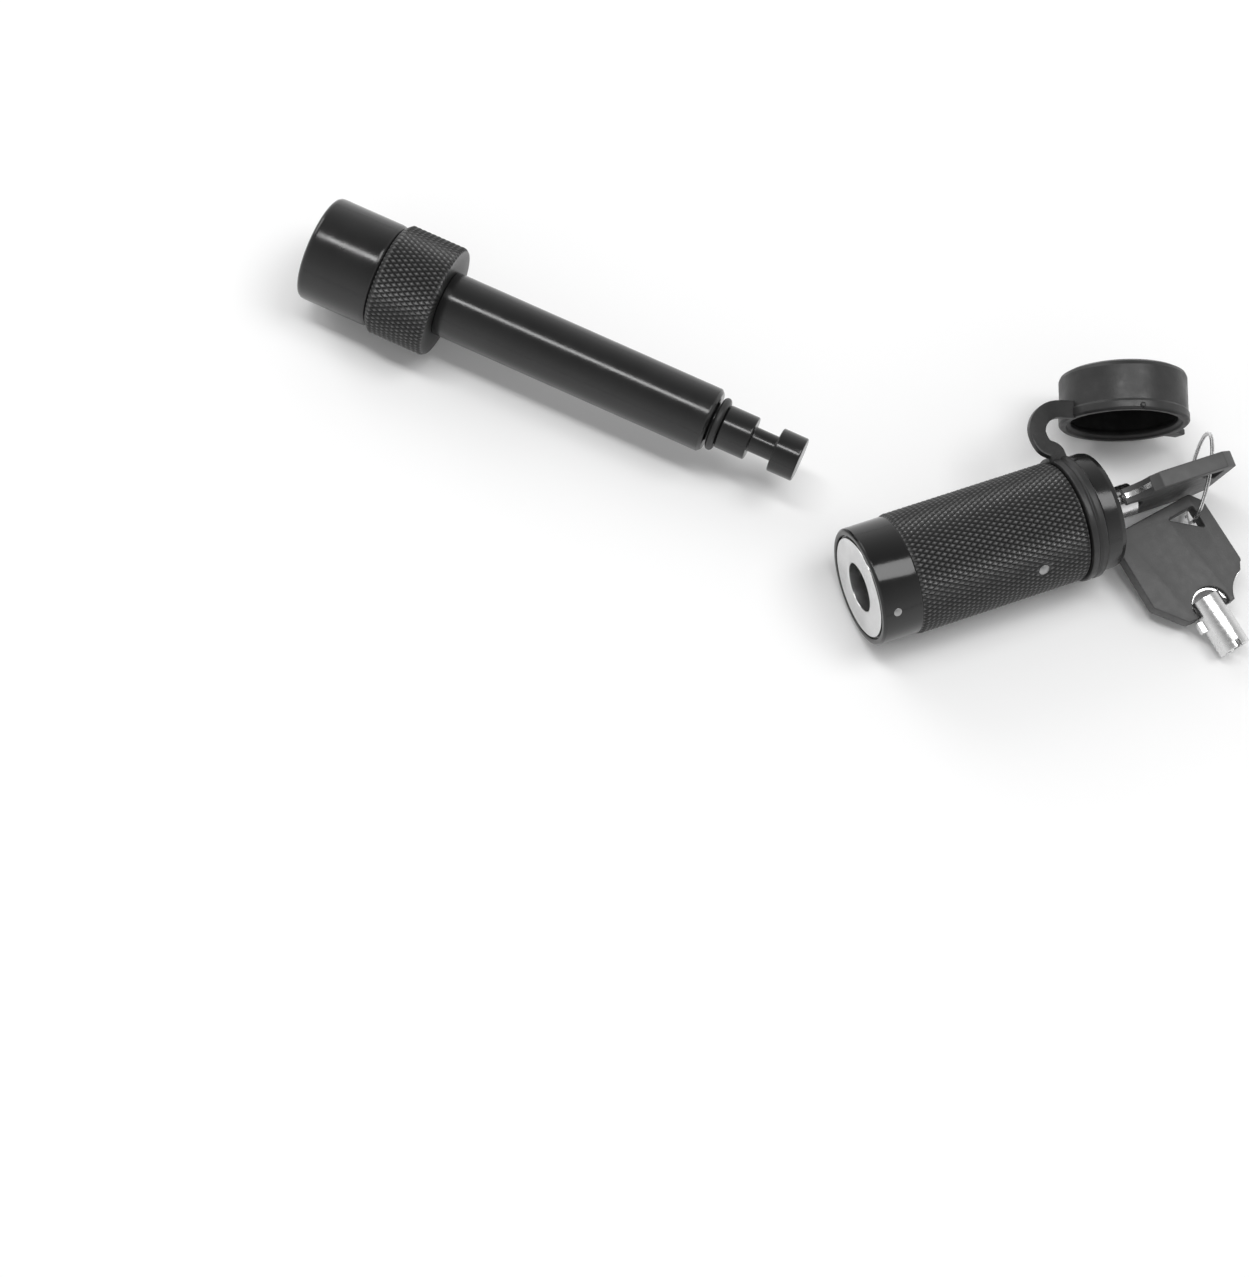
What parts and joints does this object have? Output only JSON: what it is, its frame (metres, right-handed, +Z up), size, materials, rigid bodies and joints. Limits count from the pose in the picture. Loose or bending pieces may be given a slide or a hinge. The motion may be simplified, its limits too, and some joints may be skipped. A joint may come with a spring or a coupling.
{
  "type": "locking hitch pin",
  "caption": "Locking hitch pin with a knurled head, a separate barrel lock that closes over its tip, a tethered dust cap and tubular keys on a ring.",
  "frame": {"origin": "on the pin's axis, at the middle of its grip length", "axes": "+X along the pin from its head to its locking tip; +Z up from the floor the lock barrel, cap and keys lie on; +Y completes the right-handed set"},
  "size_m": [0.2401, 0.0958, 0.0326],
  "materials": {
    "black_steel": "satin black coating on steel",
    "knurled_black": "black coating on knurled steel",
    "gloss_black": "gloss black coating on steel",
    "bright_steel": "turned face",
    "chrome": "polished",
    "inner_steel": "machined",
    "brass": "drawn",
    "rubber": "matte",
    "key_plastic": "fine grained"
  },
  "bodies": {
    "pin": {"pin_shank": "black_steel", "head_cap": "black_steel", "head_knurled_collar": "knurled_black", "tip_o_ring": "rubber"},
    "cap": {"dust_cap": "rubber", "cap_strap": "rubber"},
    "barrel": {"strap_ring": "rubber", "front_face_plate": "bright_steel", "front_collar": "gloss_black", "knurled_sleeve": "knurled_black", "inner_core": "inner_steel", "rear_collar": "black_steel", "front_cross_pin": "chrome", "rear_cross_pin": "chrome", "lock_cylinder_case": "chrome", "retaining_clip": "inner_steel"},
    "plug": {"lock_plug": "chrome", "plug_cam": "inner_steel", "cam_screw": "inner_steel"},
    "tumblers": {"tumbler_pins": "brass", "tumbler_springs": "inner_steel"},
    "latch": {"latch_bolt": "inner_steel", "latch_spring": "inner_steel"},
    "key_in_lock": {"key_1_barrel": "chrome", "key_1_head": "key_plastic"},
    "ring": {"key_ring": "chrome"},
    "spare_key": {"key_2_barrel": "chrome", "key_2_head": "key_plastic"}
  },
  "joints": [
    {"name": "lock_slide", "type": "slide", "parent": "pin", "child": "cap", "axis": [-1, 0, 0], "range_m": [-0.065, 0.022]},
    {"name": "barrel_swing", "type": "hinge", "parent": "cap", "child": "barrel", "pos_m": [0.1001, 0.0153, 0], "axis": [0, 0, -1], "range_deg": [0, 45.8]},
    {"name": "key_turn", "type": "hinge", "parent": "barrel", "child": "plug", "pos_m": [0.0829, -0.0243, 0], "axis": [-0.6972, -0.7169, 0], "range_deg": [0, 90]},
    {"name": "latch_throw", "type": "slide", "parent": "barrel", "child": "latch", "axis": [0, 0, -1], "range_m": [0, 0.0031], "deforming": ["latch_spring"]},
    {"name": "key_insert", "type": "slide", "parent": "plug", "child": "key_in_lock", "axis": [0.6972, 0.7169, 0], "range_m": [0, 0.014]},
    {"name": "tumbler_rise", "type": "slide", "parent": "plug", "child": "tumblers", "axis": [0.6972, 0.7169, 0], "range_m": [0, 0.003]},
    {"name": "ring_slip", "type": "hinge", "parent": "key_in_lock", "child": "ring", "pos_m": [0.1455, 0.0412, -0.00355], "axis": [0.9659, 0.2588, 0], "range_deg": [-30, 30]},
    {"name": "spare_key_slip", "type": "hinge", "parent": "key_in_lock", "child": "spare_key", "pos_m": [0.1455, 0.0412, -0.00355], "axis": [0.9659, 0.2588, 0], "range_deg": [-28, 0]}
  ],
  "couplings": [
    {"joint": "latch_throw", "follows": "key_turn", "m_per_rad": 0.0019099},
    {"joint": "tumbler_rise", "follows": "key_insert", "ratio": 0.2}
  ]
}
